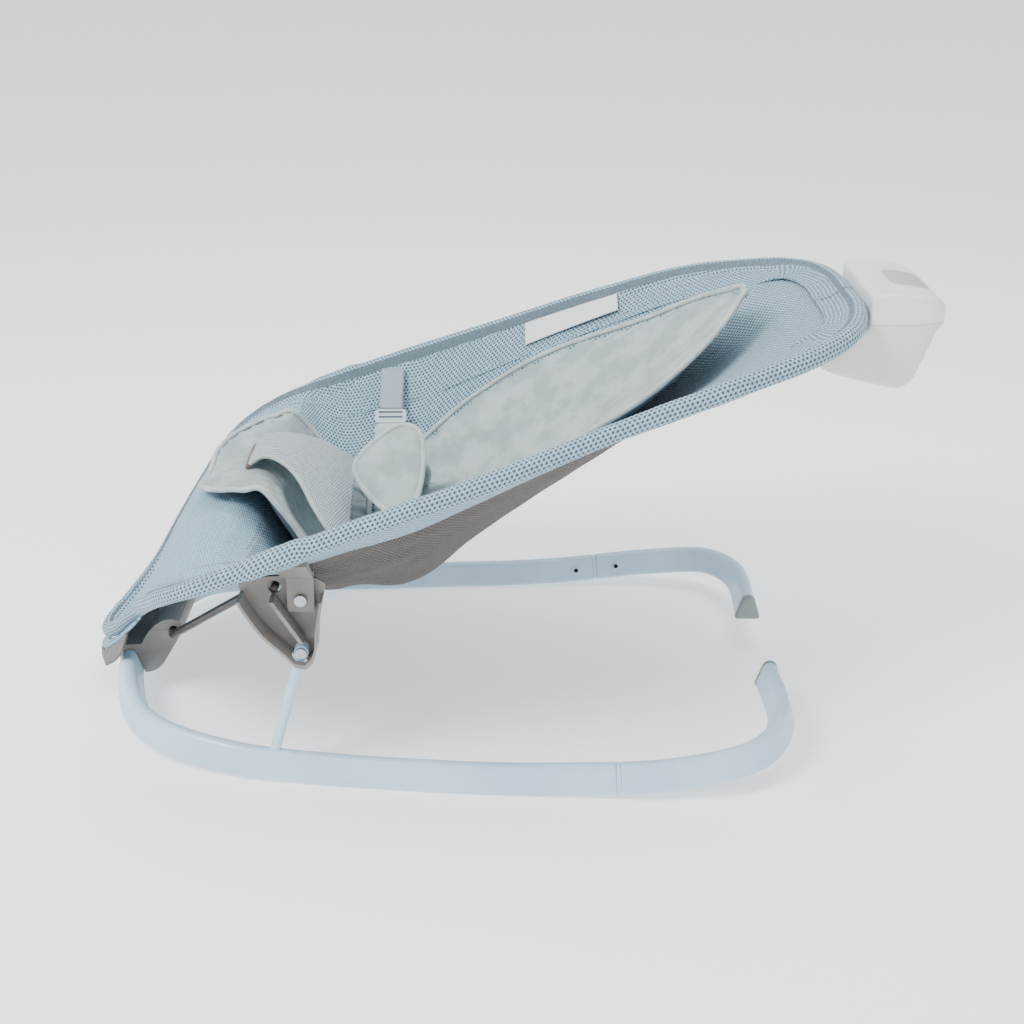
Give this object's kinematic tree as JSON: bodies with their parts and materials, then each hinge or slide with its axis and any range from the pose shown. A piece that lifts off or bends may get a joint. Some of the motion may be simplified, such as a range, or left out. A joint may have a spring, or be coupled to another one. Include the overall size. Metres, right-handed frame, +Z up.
{
  "type": "baby bouncer seat",
  "caption": "Baby bouncer seat: padded mesh sling on a tube frame, carried by hubs on swinging struts and sprung by steel wires above a C-shaped rocker base, with a soothing unit at the head.",
  "frame": {"origin": "on the floor, under the middle of the whole object", "axes": "+X towards the head end, +Y to the right of the seated baby, +Z up"},
  "size_m": [0.8261, 0.483, 0.4321],
  "materials": {
    "base_enamel": "white powder coat",
    "end_cap": "grey-green moulded cap",
    "hub_plastic": "satin moulded",
    "fasteners": "zinc plated",
    "dark_steel": "dark bronze satin",
    "seat_mesh": "spacer mesh knit",
    "insert_velour": "short pile velour",
    "hook_loop": "hook and loop tape",
    "webbing": "woven webbing",
    "buckle_plastic": "moulded acetal",
    "housing_plastic": "satin white ABS",
    "button_plastic": "soft-touch pad",
    "circuit": "solder mask",
    "battery": "printed sleeve",
    "motor": "plated can",
    "label": "woven label"
  },
  "bodies": {
    "base": {"base_front_tube": "base_enamel", "base_rear_tube_left": "base_enamel", "base_rear_tube_right": "base_enamel", "rail_coupler_left": "base_enamel", "rail_coupler_right": "base_enamel", "rail_screw_front_left": "fasteners", "rail_screw_front_right": "fasteners", "rail_screw_rear_left": "fasteners", "rail_screw_rear_right": "fasteners", "rail_end_cap_left": "end_cap", "rail_end_cap_right": "end_cap", "front_bracket_body": "hub_plastic", "front_bracket_cover": "hub_plastic", "bracket_screw_left": "fasteners", "bracket_screw_right": "fasteners", "strut_foot_pin_left": "fasteners", "strut_foot_pin_right": "fasteners"},
    "struts": {"strut_left": "base_enamel", "strut_right": "base_enamel"},
    "springs": {"spring_wire_left": "dark_steel", "spring_wire_right": "dark_steel"},
    "seat": {"hub_shell_left": "hub_plastic", "hub_shell_right": "hub_plastic", "hub_arm_left": "hub_plastic", "hub_arm_right": "hub_plastic", "hub_screw_left": "fasteners", "hub_screw_right": "fasteners", "strut_head_pin_left": "fasteners", "strut_head_pin_right": "fasteners", "seat_frame_upper": "dark_steel", "seat_frame_lower": "dark_steel", "seat_sling": "seat_mesh", "nose_cover": "seat_mesh", "hook_loop_flap": "hook_loop", "housing_bottom_shell": "housing_plastic", "housing_top_shell": "housing_plastic", "circuit_board": "circuit", "battery_cell": "battery", "vibration_motor": "motor", "housing_screw_left": "fasteners", "housing_screw_right": "fasteners", "insert_leg_pad": "insert_velour", "insert_back_pad": "insert_velour", "crotch_restraint": "seat_mesh", "hip_wing_left": "insert_velour", "hip_wing_right": "insert_velour", "waist_strap_left": "webbing", "waist_strap_right": "webbing", "buckle_tongue_left": "buckle_plastic", "buckle_tongue_right": "buckle_plastic", "care_label": "label"},
    "button": {"power_button": "button_plastic"},
    "battery_hatch": {"battery_door": "housing_plastic"},
    "socket_left": {"buckle_socket_left": "buckle_plastic"},
    "socket_right": {"buckle_socket_right": "buckle_plastic"}
  },
  "joints": [
    {"name": "strut_swing", "type": "hinge", "parent": "base", "child": "struts", "pos_m": [-0.2079, 0, 0.016], "axis": [0, 1, 0], "range_deg": [-4.19, 0.56], "stiffness_Nm_per_rad": 40, "springref_deg": 4.8},
    {"name": "seat_bounce", "type": "hinge", "parent": "struts", "child": "seat", "pos_m": [-0.1749, 0, 0.134], "axis": [0, 1, 0], "range_deg": [-1.21, 8.74]},
    {"name": "spring_flex", "type": "hinge", "parent": "base", "child": "springs", "pos_m": [-0.3259, 0, 0.072], "axis": [0, 1, 0], "range_deg": [-1.94, 0.3]},
    {"name": "power_press", "type": "slide", "parent": "seat", "child": "button", "axis": [0, 0, 1], "range_m": [-0.0015, 0], "stiffness_N_per_m": 600, "springref_m": 0.0005},
    {"name": "battery_door_hinge", "type": "hinge", "parent": "seat", "child": "battery_hatch", "pos_m": [0.3105, 0, 0.355], "axis": [0, 1, 0], "range_deg": [0, 100]},
    {"name": "buckle_left", "type": "slide", "parent": "seat", "child": "socket_left", "axis": [0.0385, 0.8859, -0.4622], "range_m": [0, 0.022]},
    {"name": "buckle_right", "type": "slide", "parent": "seat", "child": "socket_right", "axis": [0.0385, -0.8859, -0.4622], "range_m": [0, 0.022]}
  ],
  "couplings": [
    {"joint": "seat_bounce", "follows": "strut_swing", "ratio": -2.0751},
    {"joint": "spring_flex", "follows": "strut_swing", "ratio": 0.451}
  ]
}
